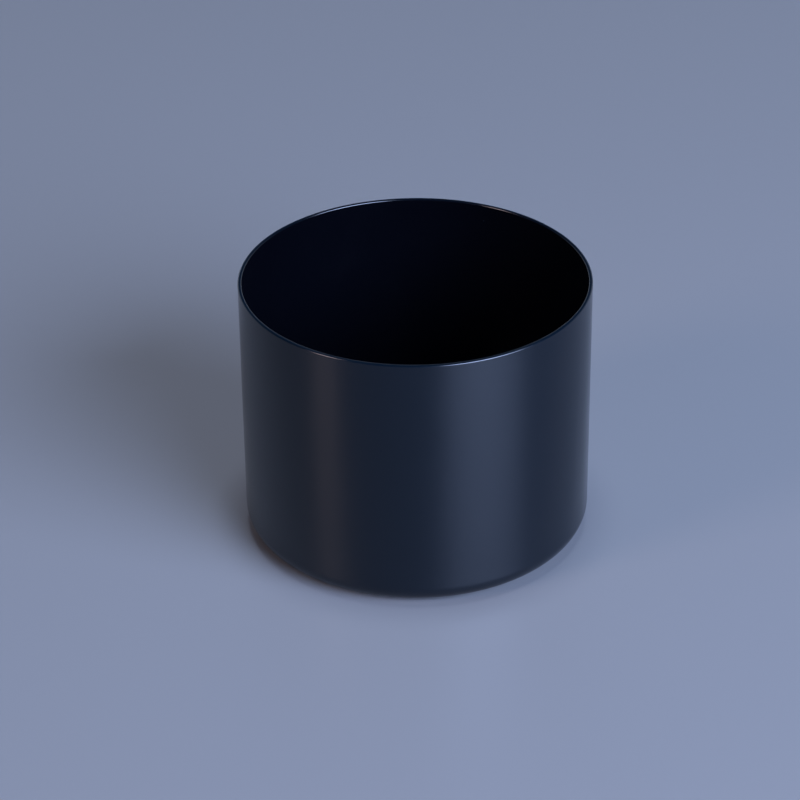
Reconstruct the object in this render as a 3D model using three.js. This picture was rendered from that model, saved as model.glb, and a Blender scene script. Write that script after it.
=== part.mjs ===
// Empty candle jar: a straight-sided cup drawn from one piece of sheet metal, with a rubber disc
// stuck into the shallow recess under its base.
//
// Millimetres, +Z up. The origin is on the jar's axis, on the surface that the jar stands on.
// Every piece is a body of revolution about Z.

import * as THREE from 'three';

// Jar shell: its outside size, from the ring it stands on up to the rim, and its sheet.
const OUTER_DIAMETER = 90;
const SHELL_HEIGHT = 70;
const SHEET_THICKNESS = 1.05;

// Rounded bend between the base and the wall, measured on the outside of the sheet.
const CORNER_OUTER_RADIUS = 5.5;

// Rim: the cut edge is rounded over from both sides, which leaves a narrow flat on top.
const RIM_OUTER_ROUND = 0.42;
const RIM_INNER_ROUND = 0.42;

// Base: its middle is pressed up by two equal bends, which leaves a ring around a shallow recess.
const RECESS_FLAT_RADIUS = 34;
const RECESS_BEND_RADIUS = 1.6;

// Rubber disc: it stands proud of the ring, so that the metal never touches the table.
const DISC_RADIUS = 33;
const DISC_THICKNESS = 1.5;
const DISC_PROUD = 0.5;
const DISC_EDGE_ROUND = 0.25;
const ADHESIVE_FILM = 0.3;

// Facets: steps around the axis and along each round of a profile.
const STEPS_AROUND = 96;
const CORNER_STEPS = 7;
const RECESS_BEND_STEPS = 3;
const RIM_STEPS = 4;
const DISC_EDGE_STEPS = 2;

// Worked out from the dimensions above.
const OUTER_RADIUS = OUTER_DIAMETER / 2;
const INNER_RADIUS = OUTER_RADIUS - SHEET_THICKNESS;
const HALF_SHEET = SHEET_THICKNESS / 2;
const RING_UNDERSIDE = DISC_PROUD;
const RIM_TOP = RING_UNDERSIDE + SHELL_HEIGHT;
const RECESS_CEILING = DISC_THICKNESS + ADHESIVE_FILM;

// An arc in the radius-height plane. Angles are in degrees, from the outward direction towards +Z.
function arc(centreRadius, centreHeight, arcRadius, startAngle, endAngle, steps) {
  const points = [];
  for (let step = 0; step <= steps; step += 1) {
    const degrees = THREE.MathUtils.lerp(startAngle, endAngle, step / steps);
    const angle = THREE.MathUtils.degToRad(degrees);
    const radius = centreRadius + arcRadius * Math.cos(angle);
    const height = centreHeight + arcRadius * Math.sin(angle);
    points.push(new THREE.Vector2(radius, height));
  }
  return points;
}

// One face of the bent sheet, from the middle of the base out to the top of the corner.
// The offset is measured from the sheet's middle line, and is positive on the outside of the jar.
function baseFace(offset) {
  const riseHeight = RECESS_CEILING - RING_UNDERSIDE;
  const bendAngle = THREE.MathUtils.radToDeg(Math.acos(1 - riseHeight / (2 * RECESS_BEND_RADIUS)));
  const bendRun = 2 * RECESS_BEND_RADIUS * Math.sin(THREE.MathUtils.degToRad(bendAngle));
  const raisedMiddle = RECESS_CEILING + HALF_SHEET;
  const ringMiddle = RING_UNDERSIDE + HALF_SHEET;
  const upperBend = arc(
    RECESS_FLAT_RADIUS, raisedMiddle - RECESS_BEND_RADIUS,
    RECESS_BEND_RADIUS - offset, 90, 90 - bendAngle, RECESS_BEND_STEPS,
  );
  const lowerBend = arc(
    RECESS_FLAT_RADIUS + bendRun, ringMiddle + RECESS_BEND_RADIUS,
    RECESS_BEND_RADIUS + offset, 270 - bendAngle, 270, RECESS_BEND_STEPS,
  );
  const corner = arc(
    OUTER_RADIUS - CORNER_OUTER_RADIUS, RING_UNDERSIDE + CORNER_OUTER_RADIUS,
    CORNER_OUTER_RADIUS - HALF_SHEET + offset, -90, 0, CORNER_STEPS,
  );
  const centre = new THREE.Vector2(0, raisedMiddle - offset);
  return [centre, ...upperBend, ...lowerBend, ...corner];
}

// The cut edge at the mouth, from the outer wall over the flat top to the inner wall.
function rimEdge() {
  const outerRound = arc(
    OUTER_RADIUS - RIM_OUTER_ROUND, RIM_TOP - RIM_OUTER_ROUND, RIM_OUTER_ROUND, 0, 90, RIM_STEPS,
  );
  const innerRound = arc(
    INNER_RADIUS + RIM_INNER_ROUND, RIM_TOP - RIM_INNER_ROUND, RIM_INNER_ROUND, 90, 180, RIM_STEPS,
  );
  return [...outerRound, ...innerRound];
}

// Turns a profile about Z. The profile starts and ends on the axis, going up its outer side.
function revolve(profile) {
  const geometry = new THREE.LatheGeometry(profile, STEPS_AROUND);
  geometry.rotateX(Math.PI / 2);
  return geometry;
}

function makeJarShell() {
  const outerFace = baseFace(HALF_SHEET);
  const innerFace = baseFace(-HALF_SHEET).reverse();
  const blackLacquer = new THREE.MeshStandardMaterial({
    color: 0x0b0d12,
    roughness: 0.35,
    metalness: 0,
  });
  const shell = new THREE.Mesh(revolve([...outerFace, ...rimEdge(), ...innerFace]), blackLacquer);
  shell.name = 'jar_shell';
  return shell;
}

function makeBaseDisc() {
  const edgeCentre = DISC_RADIUS - DISC_EDGE_ROUND;
  const lowerEdge = arc(edgeCentre, DISC_EDGE_ROUND, DISC_EDGE_ROUND, -90, 0, DISC_EDGE_STEPS);
  const upperEdge = arc(
    edgeCentre, DISC_THICKNESS - DISC_EDGE_ROUND, DISC_EDGE_ROUND, 0, 90, DISC_EDGE_STEPS,
  );
  const profile = [
    new THREE.Vector2(0, 0),
    ...lowerEdge,
    ...upperEdge,
    new THREE.Vector2(0, DISC_THICKNESS),
  ];
  const blackRubber = new THREE.MeshStandardMaterial({
    color: 0x15161a,
    roughness: 0.85,
    metalness: 0,
  });
  const disc = new THREE.Mesh(revolve(profile), blackRubber);
  disc.name = 'base_disc';
  return disc;
}

const candleJar = new THREE.Group();
candleJar.add(makeJarShell(), makeBaseDisc());

export default candleJar;
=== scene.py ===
"""Empty candle jar: a lacquered metal cup on a rubber disc, standing on a plain table.

Metres, +Z up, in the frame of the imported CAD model. The jar's axis is Z and the table is z = 0.
"""

import math

import bmesh
import bpy
from mathutils import Matrix, Vector


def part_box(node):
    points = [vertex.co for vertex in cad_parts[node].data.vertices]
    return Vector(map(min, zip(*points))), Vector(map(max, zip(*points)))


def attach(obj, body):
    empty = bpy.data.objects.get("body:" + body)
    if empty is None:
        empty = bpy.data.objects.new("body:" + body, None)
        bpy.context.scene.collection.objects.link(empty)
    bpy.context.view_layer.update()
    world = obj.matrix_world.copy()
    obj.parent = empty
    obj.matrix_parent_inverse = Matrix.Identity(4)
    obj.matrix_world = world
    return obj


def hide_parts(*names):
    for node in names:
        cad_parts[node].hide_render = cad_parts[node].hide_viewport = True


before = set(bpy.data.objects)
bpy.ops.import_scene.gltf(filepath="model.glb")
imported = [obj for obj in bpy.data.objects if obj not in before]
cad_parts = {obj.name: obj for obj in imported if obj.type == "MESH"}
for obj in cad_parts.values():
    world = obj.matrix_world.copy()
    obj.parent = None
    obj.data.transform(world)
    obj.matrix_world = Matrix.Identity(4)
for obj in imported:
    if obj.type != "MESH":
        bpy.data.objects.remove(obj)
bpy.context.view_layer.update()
shell_low, shell_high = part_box("jar_shell")
_, disc_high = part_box("base_disc")

MM = 0.001

# The cup's sheet and its bends, as in the CAD model.
OUTER_RADIUS = shell_high.x
RIM_TOP = shell_high.z
RING_UNDERSIDE = shell_low.z
SHEET_THICKNESS = 1.05 * MM
CORNER_OUTER_RADIUS = 5.5 * MM
RIM_OUTER_ROUND = 0.42 * MM
RIM_INNER_ROUND = 0.42 * MM
RECESS_FLAT_RADIUS = 34.0 * MM
RECESS_BEND_RADIUS = 1.6 * MM
ADHESIVE_FILM = 0.3 * MM
INNER_RADIUS = OUTER_RADIUS - SHEET_THICKNESS
HALF_SHEET = SHEET_THICKNESS / 2
RECESS_CEILING = disc_high.z + ADHESIVE_FILM

# The rubber disc.
DISC_RADIUS = disc_high.x
DISC_THICKNESS = disc_high.z
DISC_EDGE_ROUND = 0.25 * MM

# Mesh steps: around the axis, and along the rounds of a profile.
STEPS_AROUND = 512
RECESS_BEND_STEPS = 10
CORNER_STEPS = 24
RIM_ROUND_STEPS = 10
DISC_EDGE_STEPS = 6

# Camera: the point that it looks at, and how it stands to it.
CAMERA_TARGET = Vector((0.0, 0.0, 34.2 * MM))
CAMERA_DISTANCE = 0.755
CAMERA_ELEVATION = 30.74
CAMERA_ROLL = -0.44
FOCAL_LENGTH = 130.8
SENSOR_WIDTH = 36.0
CAMERA_SHIFT = (-0.0202, 0.0008)
CAMERA_CLIP_START = 0.01

# The table, in metres.
TABLE_SIZE = 8.0

# Colours, linear.
# The outside's colour is black paint plus a painted sheen of the lit table, which makes it lighter
# than the inside's plain lacquer.
LACQUER_WITH_PAINTED_SHEEN = (0.0012, 0.0031, 0.0056, 1)
INNER_LACQUER = (0.0007, 0.0009, 0.0018, 1)
DUST_GREY = (0.10, 0.11, 0.13, 1)
RUBBER_BLACK = (0.018, 0.018, 0.02, 1)
RUBBER_WORN = (0.035, 0.035, 0.037, 1)
TABLE_GREY = (0.15, 0.15, 0.15, 1)
HORIZON_GLOW = (0.66, 0.78, 1.0, 1)
DIM_ROOM = (0.02, 0.05, 0.12, 1)
KEY_BLUE = (0.48, 0.61, 0.98)
WARM_PINK = (1.0, 0.8, 0.82)
FILL_BLUE = (0.665, 0.77, 1.0)

# Most of a noise texture's values lie between these two.
NOISE_LOW = 0.3
NOISE_HIGH = 0.7

# Lacquer: its gloss, and the sizes of its marks and of the relief in its surface.
LACQUER_IOR = 1.43
LACQUER_ROUGHNESS = (0.14, 0.19)
SMUDGE_SIZE = 14 * MM
SMUDGE_DETAIL = 4.0
GRAIN_SIZE = 0.5 * MM
GRAIN_ROUGHNESS = 0.02
DUST_SPACING = 3.2 * MM
DUST_RADIUS = 0.10 * MM
DUST_PATCH_SIZE = 9 * MM
DUST_PATCH_EDGE = (0.58, 0.62)
SHEET_WAVE_SIZE = 22 * MM
SHEET_WAVE_HEIGHT = 0.10 * MM
ORANGE_PEEL_SIZE = 1.3 * MM
ORANGE_PEEL_HEIGHT = 0.006 * MM
FINE_PEEL_SIZE = 0.35 * MM
FINE_PEEL_HEIGHT = 0.0015 * MM

# Rubber: its worn patches and its moulded grain.
RUBBER_ROUGHNESS = (0.8, 0.9)
WEAR_SIZE = 8 * MM
WEAR_DETAIL = 4.0
WEAR_EDGE = (0.45, 0.65)
RUBBER_GRAIN_SIZE = 0.4 * MM
RUBBER_GRAIN_HEIGHT = 0.02 * MM

# Table top.
TABLE_IOR = 1.5
TABLE_ROUGHNESS = 0.42

# The world's glow along the horizon behind the jar, in degrees: the elevations where it starts to
# fade and is gone, and how far to the sides of straight behind it starts to fade and is gone.
GLOW_FULL_BELOW = 8
GLOW_GONE_ABOVE = 23
GLOW_FULL_WITHIN = 50
GLOW_GONE_BEYOND = 90


def arc(centre_radius, centre_height, arc_radius, start_angle, end_angle, steps):
    """Points of an arc in the radius-height plane; angles in degrees, from outwards towards +Z."""
    points = []
    for step in range(steps + 1):
        angle = math.radians(start_angle + (end_angle - start_angle) * step / steps)
        radius = centre_radius + arc_radius * math.cos(angle)
        height = centre_height + arc_radius * math.sin(angle)
        points.append((radius, height))
    return points


def base_face(offset):
    """One face of the bent sheet, from the middle of the base out to the top of the corner.

    The offset is measured from the sheet's middle line, and is positive on the outside of the jar.
    """
    rise = RECESS_CEILING - RING_UNDERSIDE
    bend_angle = math.acos(1 - rise / (2 * RECESS_BEND_RADIUS))
    bend_run = 2 * RECESS_BEND_RADIUS * math.sin(bend_angle)
    bend_degrees = math.degrees(bend_angle)
    raised_middle = RECESS_CEILING + HALF_SHEET
    ring_middle = RING_UNDERSIDE + HALF_SHEET
    upper_bend = arc(
        RECESS_FLAT_RADIUS, raised_middle - RECESS_BEND_RADIUS,
        RECESS_BEND_RADIUS - offset, 90, 90 - bend_degrees, RECESS_BEND_STEPS,
    )
    lower_bend = arc(
        RECESS_FLAT_RADIUS + bend_run, ring_middle + RECESS_BEND_RADIUS,
        RECESS_BEND_RADIUS + offset, 270 - bend_degrees, 270, RECESS_BEND_STEPS,
    )
    corner = arc(
        OUTER_RADIUS - CORNER_OUTER_RADIUS, RING_UNDERSIDE + CORNER_OUTER_RADIUS,
        CORNER_OUTER_RADIUS - HALF_SHEET + offset, -90, 0, CORNER_STEPS,
    )
    return [(0.0, raised_middle - offset), *upper_bend, *lower_bend, *corner]


def rim_edge():
    """The cut edge at the mouth, from the outer wall over the top to the inner wall."""
    outer = arc(
        OUTER_RADIUS - RIM_OUTER_ROUND, RIM_TOP - RIM_OUTER_ROUND, RIM_OUTER_ROUND,
        0, 90, RIM_ROUND_STEPS,
    )
    inner = arc(
        INNER_RADIUS + RIM_INNER_ROUND, RIM_TOP - RIM_INNER_ROUND, RIM_INNER_ROUND,
        90, 180, RIM_ROUND_STEPS,
    )
    return [*outer, *inner]


def shell_profile():
    """The cup's whole section: up its outside, over the rim and down its inside."""
    outer_face = base_face(HALF_SHEET)
    inner_face = base_face(-HALF_SHEET)
    return [*outer_face, *rim_edge(), *reversed(inner_face)]


def disc_profile():
    """The disc's section, with both edges rounded."""
    edge_radius = DISC_RADIUS - DISC_EDGE_ROUND
    lower_edge = arc(edge_radius, DISC_EDGE_ROUND, DISC_EDGE_ROUND, -90, 0, DISC_EDGE_STEPS)
    upper_edge = arc(
        edge_radius, DISC_THICKNESS - DISC_EDGE_ROUND, DISC_EDGE_ROUND, 0, 90, DISC_EDGE_STEPS,
    )
    return [(0.0, 0.0), *lower_edge, *upper_edge, (0.0, DISC_THICKNESS)]


def ring_of_vertices(mesh_builder, radius, height):
    """One ring of a body of revolution, or a single vertex where the profile meets the axis."""
    if radius == 0.0:
        return [mesh_builder.verts.new((0.0, 0.0, height))]
    ring = []
    for step in range(STEPS_AROUND):
        angle = 2 * math.pi * step / STEPS_AROUND
        place = (radius * math.cos(angle), radius * math.sin(angle), height)
        ring.append(mesh_builder.verts.new(place))
    return ring


def bridge_rings(mesh_builder, first, second):
    """Faces between two neighbouring rings; either may be the single vertex on the axis."""
    for step in range(STEPS_AROUND):
        following = (step + 1) % STEPS_AROUND
        if len(first) == 1:
            corners = [first[0], second[following], second[step]]
        elif len(second) == 1:
            corners = [first[step], first[following], second[0]]
        else:
            corners = [first[step], first[following], second[following], second[step]]
        mesh_builder.faces.new(corners).smooth = True


def revolve(name, profile, material):
    """A smooth closed body of revolution about Z. The profile runs from axis to axis."""
    mesh_builder = bmesh.new()
    rings = [ring_of_vertices(mesh_builder, radius, height) for radius, height in profile]
    for first, second in zip(rings, rings[1:]):
        bridge_rings(mesh_builder, first, second)
    bmesh.ops.recalc_face_normals(mesh_builder, faces=mesh_builder.faces)
    mesh = bpy.data.meshes.new(name)
    mesh_builder.to_mesh(mesh)
    mesh_builder.free()
    mesh.materials.append(material)
    piece = bpy.data.objects.new(name, mesh)
    bpy.context.scene.collection.objects.link(piece)
    return piece


class MaterialBuilder:
    """A new material and short calls that add and join its nodes."""

    def __init__(self, name):
        self.material = bpy.data.materials.new(name)
        self.material.use_nodes = True
        self.tree = self.material.node_tree
        self.shader = self.tree.nodes["Principled BSDF"]
        self.place = self.tree.nodes.new("ShaderNodeTexCoord").outputs["Object"]

    def join(self, output, target):
        self.tree.links.new(output, target)

    def noise(self, feature_size, detail=2.0):
        """Noise whose features are about this many metres across."""
        node = self.tree.nodes.new("ShaderNodeTexNoise")
        node.inputs["Scale"].default_value = 1 / feature_size
        node.inputs["Detail"].default_value = detail
        self.join(self.place, node.inputs["Vector"])
        return node.outputs["Fac"]

    def spots(self, spacing, spot_radius):
        """1 inside small round spots, one in each cell of this size, and 0 between them."""
        node = self.tree.nodes.new("ShaderNodeTexVoronoi")
        node.inputs["Scale"].default_value = 1 / spacing
        self.join(self.place, node.inputs["Vector"])
        return self.remap(node.outputs["Distance"], spot_radius / spacing, 0.0, 0.0, 1.0)

    def remap(self, value, from_low, from_high, to_low, to_high):
        """Maps one range of values onto another, and holds the ends beyond it."""
        node = self.tree.nodes.new("ShaderNodeMapRange")
        node.inputs["From Min"].default_value = from_low
        node.inputs["From Max"].default_value = from_high
        node.inputs["To Min"].default_value = to_low
        node.inputs["To Max"].default_value = to_high
        self.join(value, node.inputs["Value"])
        return node.outputs["Result"]

    def axis_distance(self):
        """Distance from the jar's axis, in metres."""
        flatten = self.tree.nodes.new("ShaderNodeVectorMath")
        flatten.operation = "MULTIPLY"
        flatten.inputs[1].default_value = (1.0, 1.0, 0.0)
        self.join(self.place, flatten.inputs[0])
        length = self.tree.nodes.new("ShaderNodeVectorMath")
        length.operation = "LENGTH"
        self.join(flatten.outputs["Vector"], length.inputs[0])
        return length.outputs["Value"]

    def calculate(self, operation, first, second):
        node = self.tree.nodes.new("ShaderNodeMath")
        node.operation = operation
        self.join(first, node.inputs[0])
        self.join(second, node.inputs[1])
        return node.outputs["Value"]

    def mix_colours(self, factor, first_colour, second_colour):
        """Between two colours; each is a fixed one or the output of another node."""
        node = self.tree.nodes.new("ShaderNodeMix")
        node.data_type = "RGBA"
        for name, colour in (("A", first_colour), ("B", second_colour)):
            if isinstance(colour, tuple):
                node.inputs[name].default_value = colour
            else:
                self.join(colour, node.inputs[name])
        self.join(factor, node.inputs["Factor"])
        return node.outputs["Result"]

    def bump(self, height, height_in_metres, underlying=None):
        """Relief in the surface, on top of the underlying relief if there is one."""
        node = self.tree.nodes.new("ShaderNodeBump")
        node.inputs["Distance"].default_value = height_in_metres
        self.join(height, node.inputs["Height"])
        if underlying is not None:
            self.join(underlying, node.inputs["Normal"])
        return node.outputs["Normal"]


def lacquer():
    """Satin black lacquer with a faint orange peel, a slight wave in the sheet, and a little dust;
    its outside colour carries a painted sheen.
    """
    build = MaterialBuilder("black_lacquer")
    shader = build.shader
    shader.inputs["IOR"].default_value = LACQUER_IOR
    # The outside wall gets the lighter colour: black paint plus a painted sheen of the lit table. The
    # inside keeps the plain darker lacquer.
    outside_painted_sheen = build.remap(build.axis_distance(), INNER_RADIUS, INNER_RADIUS + HALF_SHEET, 0.0, 1.0)
    paint_and_sheen = build.mix_colours(outside_painted_sheen, INNER_LACQUER, LACQUER_WITH_PAINTED_SHEEN)
    dust_cells = build.spots(DUST_SPACING, DUST_RADIUS)
    dust_patches = build.remap(build.noise(DUST_PATCH_SIZE), *DUST_PATCH_EDGE, 0.0, 1.0)
    dust = build.calculate("MULTIPLY", dust_cells, dust_patches)
    build.join(build.mix_colours(dust, paint_and_sheen, DUST_GREY), shader.inputs["Base Color"])
    grain = build.remap(
        build.noise(GRAIN_SIZE), NOISE_LOW, NOISE_HIGH, -GRAIN_ROUGHNESS, GRAIN_ROUGHNESS,
    )
    smudges = build.remap(
        build.noise(SMUDGE_SIZE, SMUDGE_DETAIL), NOISE_LOW, NOISE_HIGH, *LACQUER_ROUGHNESS,
    )
    build.join(build.calculate("ADD", grain, smudges), shader.inputs["Roughness"])
    sheet_wave = build.bump(build.noise(SHEET_WAVE_SIZE), SHEET_WAVE_HEIGHT)
    orange_peel = build.bump(build.noise(ORANGE_PEEL_SIZE), ORANGE_PEEL_HEIGHT, sheet_wave)
    fine_peel = build.bump(build.noise(FINE_PEEL_SIZE), FINE_PEEL_HEIGHT, orange_peel)
    build.join(fine_peel, shader.inputs["Normal"])
    return build.material


def rubber():
    """Matt black rubber with a fine moulded grain and paler worn patches."""
    build = MaterialBuilder("black_rubber")
    shader = build.shader
    wear = build.remap(build.noise(WEAR_SIZE, WEAR_DETAIL), *WEAR_EDGE, 0.0, 1.0)
    build.join(build.mix_colours(wear, RUBBER_BLACK, RUBBER_WORN), shader.inputs["Base Color"])
    build.join(build.remap(wear, 0.0, 1.0, *RUBBER_ROUGHNESS), shader.inputs["Roughness"])
    grain = build.bump(build.noise(RUBBER_GRAIN_SIZE), RUBBER_GRAIN_HEIGHT)
    build.join(grain, shader.inputs["Normal"])
    return build.material


def table_top():
    """Plain satin grey."""
    build = MaterialBuilder("table")
    shader = build.shader
    shader.inputs["Base Color"].default_value = TABLE_GREY
    shader.inputs["IOR"].default_value = TABLE_IOR
    shader.inputs["Roughness"].default_value = TABLE_ROUGHNESS
    return build.material


def make_floor():
    bpy.ops.mesh.primitive_plane_add(size=TABLE_SIZE)
    floor = bpy.context.object
    floor.name = "table"
    floor.data.materials.append(table_top())


def direction(azimuth, elevation):
    """Unit vector from the jar towards a place; azimuth 0 is towards the camera, 90 is +X."""
    turn = math.radians(azimuth)
    lift = math.radians(elevation)
    return Vector((
        math.sin(turn) * math.cos(lift),
        -math.cos(turn) * math.cos(lift),
        math.sin(lift),
    ))


def softbox(name, shape, azimuth, elevation, distance, width, height, power, colour):
    """A flat lamp that faces the jar; its own shape stays out of the camera's view."""
    light = bpy.data.lights.new(name, "AREA")
    light.shape = shape
    light.size = width
    light.size_y = height
    light.energy = power
    light.color = colour
    lamp = bpy.data.objects.new(name, light)
    lamp.visible_camera = False
    bpy.context.scene.collection.objects.link(lamp)
    towards = direction(azimuth, elevation)
    lamp.location = towards * distance
    lamp.rotation_euler = towards.to_track_quat("Z", "Y").to_euler()
    return lamp


def make_lights():
    """A key with a brighter core at the right, a warm strip at the left, and a fill from above."""
    softbox(
        "key", "ELLIPSE", azimuth=43.5, elevation=29, distance=1.7,
        width=1.56, height=1.05, power=105, colour=KEY_BLUE,
    )
    softbox(
        "key_core", "ELLIPSE", azimuth=40, elevation=29, distance=1.7,
        width=0.9, height=0.7, power=15, colour=KEY_BLUE,
    )
    softbox(
        "warm", "RECTANGLE", azimuth=-58.5, elevation=29, distance=2.0,
        width=0.5, height=0.8, power=15.5, colour=WARM_PINK,
    )
    fill = softbox(
        "fill", "ELLIPSE", azimuth=0, elevation=90, distance=2.0,
        width=0.5, height=0.5, power=29, colour=FILL_BLUE,
    )
    fill.visible_glossy = False


def make_camera():
    """A long lens that looks down at the jar, with a slight roll."""
    camera_data = bpy.data.cameras.new("camera")
    camera_data.lens = FOCAL_LENGTH
    camera_data.sensor_width = SENSOR_WIDTH
    camera_data.shift_x, camera_data.shift_y = CAMERA_SHIFT
    camera_data.clip_start = CAMERA_CLIP_START
    camera = bpy.data.objects.new("camera", camera_data)
    bpy.context.scene.collection.objects.link(camera)
    towards_camera = direction(0, CAMERA_ELEVATION)
    camera.location = CAMERA_TARGET + towards_camera * CAMERA_DISTANCE
    aim = towards_camera.to_track_quat("Z", "Y").to_matrix().to_4x4()
    roll = Matrix.Rotation(math.radians(CAMERA_ROLL), 4, "Z")
    camera.rotation_euler = (aim @ roll).to_euler()
    bpy.context.scene.camera = camera


def world_fade(tree, value, full_at, gone_at):
    """A smooth weight along one axis: 1 up to the first value and 0 from the second on."""
    node = tree.nodes.new("ShaderNodeMapRange")
    node.interpolation_type = "SMOOTHSTEP"
    node.inputs["From Min"].default_value = full_at
    node.inputs["From Max"].default_value = gone_at
    node.inputs["To Min"].default_value = 1.0
    node.inputs["To Max"].default_value = 0.0
    tree.links.new(value, node.inputs["Value"])
    return node.outputs["Result"]


def make_world():
    """A dim room with a glow along the horizon behind the jar."""
    world = bpy.data.worlds.new("studio")
    bpy.context.scene.world = world
    world.use_nodes = True
    tree = world.node_tree
    background = tree.nodes["Background"]
    towards = tree.nodes.new("ShaderNodeTexCoord").outputs["Generated"]
    parts = tree.nodes.new("ShaderNodeSeparateXYZ")
    tree.links.new(towards, parts.inputs["Vector"])
    low = world_fade(
        tree, parts.outputs["Z"],
        math.sin(math.radians(GLOW_FULL_BELOW)), math.sin(math.radians(GLOW_GONE_ABOVE)),
    )
    behind = world_fade(
        tree, parts.outputs["Y"],
        math.cos(math.radians(GLOW_FULL_WITHIN)), math.cos(math.radians(GLOW_GONE_BEYOND)),
    )
    glow = tree.nodes.new("ShaderNodeMath")
    glow.operation = "MULTIPLY"
    tree.links.new(low, glow.inputs[0])
    tree.links.new(behind, glow.inputs[1])
    colour = tree.nodes.new("ShaderNodeMix")
    colour.data_type = "RGBA"
    colour.inputs["A"].default_value = DIM_ROOM
    colour.inputs["B"].default_value = HORIZON_GLOW
    tree.links.new(glow.outputs["Value"], colour.inputs["Factor"])
    tree.links.new(colour.outputs["Result"], background.inputs["Color"])


bpy.context.scene.view_settings.view_transform = "Standard"
make_camera()
make_world()
make_floor()
make_lights()

shell = revolve("jar_shell_skin", shell_profile(), lacquer())
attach(shell, "root")
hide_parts("jar_shell")

disc = revolve("base_disc_skin", disc_profile(), rubber())
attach(disc, "root")
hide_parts("base_disc")
